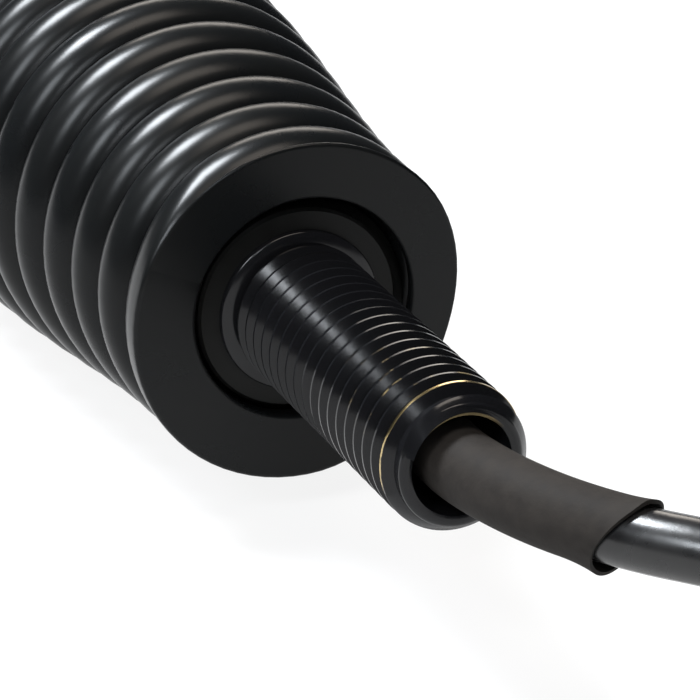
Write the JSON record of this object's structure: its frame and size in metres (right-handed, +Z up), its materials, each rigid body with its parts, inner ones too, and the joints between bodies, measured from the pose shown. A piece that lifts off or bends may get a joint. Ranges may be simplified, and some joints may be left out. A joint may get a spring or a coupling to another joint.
{
  "type": "vehicle whip aerial spring base with coaxial lead",
  "caption": "Barrel coil spring base for a whip aerial, with a hollow threaded stud, a whip socket and a coaxial lead ending in a radio plug.",
  "frame": {"origin": "on the surface that the spring lies on, under the middle of the base without its lead", "axes": "+Y along the spring's axis from the stud to the whip socket, +Z up, +X to the side to which the lead turns"},
  "size_m": [0.065, 0.3345, 0.0472],
  "materials": {
    "black_spring": "gloss black enamel over steel, worn satin",
    "ferrule_steel": "matt black plating",
    "stud_brass": "black plating over brass, worn bright on the crests",
    "brass": "bright turned",
    "nickel": "nickel plate",
    "steel": "zinc-bright",
    "copper": "tinned and bare copper",
    "rubber": "matt black rubber",
    "sleeve": "shrunk sleeve, satin, brownish",
    "jacket": "gloss black cable jacket",
    "nylon": "natural nylon",
    "strap": "woven hook-and-loop strap"
  },
  "bodies": {
    "base": {"base_ferrule": "ferrule_steel", "threaded_stud": "stud_brass", "screen_crimp": "brass", "lead_gland": "rubber", "base_lug": "copper", "base_lug_screw": "steel", "shrunk_sleeve": "sleeve", "coax_lead": "jacket", "coax_coil": "jacket", "coax_tail": "jacket", "coil_strap_1": "strap", "coil_strap_2": "strap", "plug_relief": "rubber", "plug_reducer": "nickel", "plug_body": "nickel", "plug_insulator": "nylon", "plug_pin": "nickel"},
    "spring": {"barrel_spring": "black_spring", "bonding_braid": "copper", "inner_lead": "jacket"},
    "head": {"top_ferrule": "ferrule_steel", "socket_insulator": "nylon", "contact_terminal": "brass", "contact_spring": "steel", "mouth_seal": "rubber", "top_lug": "copper", "top_lug_screw": "steel"},
    "contact": {"contact_plunger": "brass"},
    "coupling": {"coupling_ring": "nickel"}
  },
  "joints": [
    {"name": "bend_up", "type": "hinge", "parent": "base", "child": "spring", "pos_m": [0, -0.0121, 0.0179], "axis": [1, 0, 0], "range_deg": [-25, 25], "stiffness_Nm_per_rad": 2.7, "deforming": ["barrel_spring", "bonding_braid", "inner_lead"]},
    {"name": "bend_aside", "type": "hinge", "parent": "spring", "child": "head", "pos_m": [0, 0.0224, 0.0179], "axis": [0, 0, 1], "range_deg": [-25, 25], "stiffness_Nm_per_rad": 2.7, "deforming": ["barrel_spring", "bonding_braid", "inner_lead"]},
    {"name": "contact_press", "type": "slide", "parent": "head", "child": "contact", "axis": [0, -1, 0], "range_m": [0, 0.0015], "stiffness_N_per_m": 300, "deforming": ["contact_spring"]},
    {"name": "ring_spin", "type": "hinge", "parent": "base", "child": "coupling", "pos_m": [0.0366, -0.2495, 0.03787], "axis": [0, 1, 0], "continuous": true}
  ]
}
